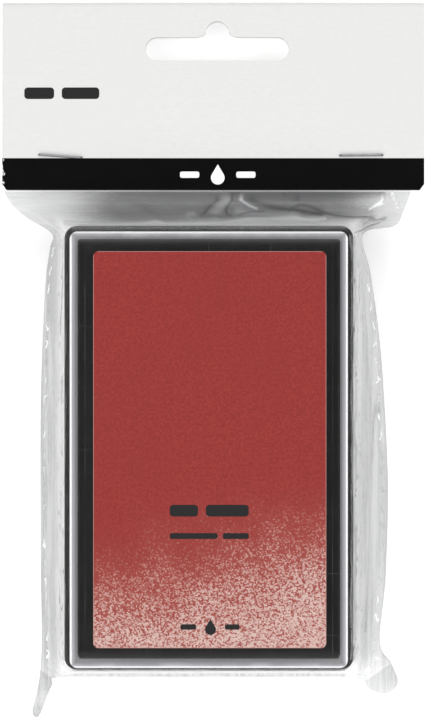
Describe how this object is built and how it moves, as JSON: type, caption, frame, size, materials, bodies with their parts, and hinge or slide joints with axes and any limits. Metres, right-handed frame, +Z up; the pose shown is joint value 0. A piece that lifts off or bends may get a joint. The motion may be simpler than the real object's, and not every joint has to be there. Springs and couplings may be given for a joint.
{
  "type": "ink pad",
  "caption": "Felt-topped ink pad with a lift-off clear lid, lying in a clear film pouch stapled into a folded header card with a hanging slot.",
  "frame": {"origin": "centre of the underside beneath the ink pad, on the face the pack rests on", "axes": "+Z up with the pack lying on its back, +Y towards the header card, +X to the right"},
  "size_m": [0.0878, 0.1492, 0.0217],
  "materials": {
    "tray_plastic": "moulded, satin",
    "foam_tape": "matt tape",
    "inked_foam": "open foam soaked with ink",
    "inked_cloth": "woven, damp with ink",
    "lid_plastic": "clear, polished",
    "label_paper": "printed paper, matt",
    "header_card": "uncoated card, printed band",
    "staple_wire": "bright wire",
    "pouch_film": "clear film, glossy"
  },
  "bodies": {
    "root": {"base_tray": "tray_plastic", "pad_frame": "tray_plastic", "foam_tape": "foam_tape", "foam_pad": "inked_foam", "pad_cover": "inked_cloth", "header_card": "header_card", "staple_left": "staple_wire", "staple_right": "staple_wire", "bag_back_film": "pouch_film", "bag_mouth_front": "pouch_film"},
    "front_film": {"bag_front_film": "pouch_film"},
    "lid": {"lid": "lid_plastic", "lid_label": "label_paper"}
  },
  "joints": [
    {"name": "film_flap", "type": "hinge", "parent": "root", "child": "front_film", "pos_m": [0, 0.0533, 0.01005], "axis": [-1, 0, 0], "range_deg": [0, 100]},
    {"name": "lid_lift", "type": "slide", "parent": "root", "child": "lid", "axis": [0, 0, 1], "range_m": [0, 0.0175]}
  ],
  "couplings": [
    {"joint": "lid_lift", "follows": "film_flap", "m_per_rad": 0.01}
  ]
}
